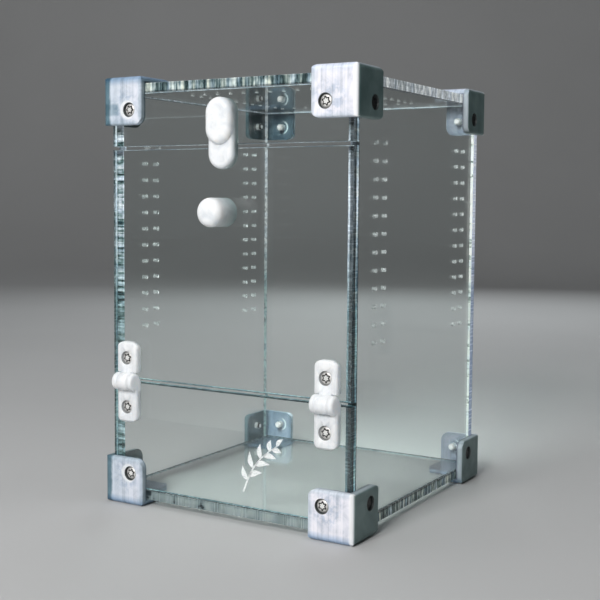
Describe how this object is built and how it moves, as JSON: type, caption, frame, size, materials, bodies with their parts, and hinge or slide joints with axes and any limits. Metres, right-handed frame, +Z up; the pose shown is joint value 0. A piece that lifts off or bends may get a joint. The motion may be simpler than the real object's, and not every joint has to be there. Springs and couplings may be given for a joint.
{
  "type": "clear pet keeper",
  "caption": "Upright clear box for keeping insects or other small pets, with a drop-down front door, turn latch, pull knob, corner brackets and rows of air holes.",
  "frame": {"origin": "centre of the overall footprint, on the undersides of the four bottom brackets", "axes": "+Z up, the door, latch and knob face -Y, +X is to the right seen from the front"},
  "size_m": [0.126, 0.1424, 0.188],
  "materials": {
    "clear_sheet": "clear polished sheet, laser-cut edges",
    "printed_white": "translucent white printed plastic with layer lines",
    "steel": "bright stainless steel"
  },
  "bodies": {
    "case": {"base_panel": "clear_sheet", "top_panel": "clear_sheet", "left_panel": "clear_sheet", "right_panel": "clear_sheet", "rear_panel": "clear_sheet", "front_top_strip": "clear_sheet", "front_bottom_strip": "clear_sheet", "corner_front_left_bottom": "printed_white", "corner_front_right_bottom": "printed_white", "corner_rear_left_bottom": "printed_white", "corner_rear_right_bottom": "printed_white", "corner_front_left_top": "printed_white", "corner_front_right_top": "printed_white", "corner_rear_left_top": "printed_white", "corner_rear_right_top": "printed_white", "corner_screws_front": "steel", "corner_screws_rear": "steel", "corner_screws_left": "steel", "corner_screws_right": "steel", "hinge_base_left": "printed_white", "hinge_base_right": "printed_white", "hinge_pin_left": "steel", "hinge_pin_right": "steel", "hinge_base_screws": "steel"},
    "door": {"door_panel": "clear_sheet", "hinge_leaf_left": "printed_white", "hinge_leaf_right": "printed_white", "hinge_leaf_screws": "steel", "pull_knob": "printed_white", "knob_screw": "steel"},
    "latch": {"turn_latch": "printed_white", "latch_screw": "steel"}
  },
  "joints": [
    {"name": "door_hinge", "type": "hinge", "parent": "case", "child": "door", "pos_m": [0, -0.06175, 0.0554], "axis": [1, 0, 0], "range_deg": [0, 120]},
    {"name": "latch_turn", "type": "hinge", "parent": "case", "child": "latch", "pos_m": [0, -0.05775, 0.1707], "axis": [0, -1, 0], "continuous": true}
  ]
}
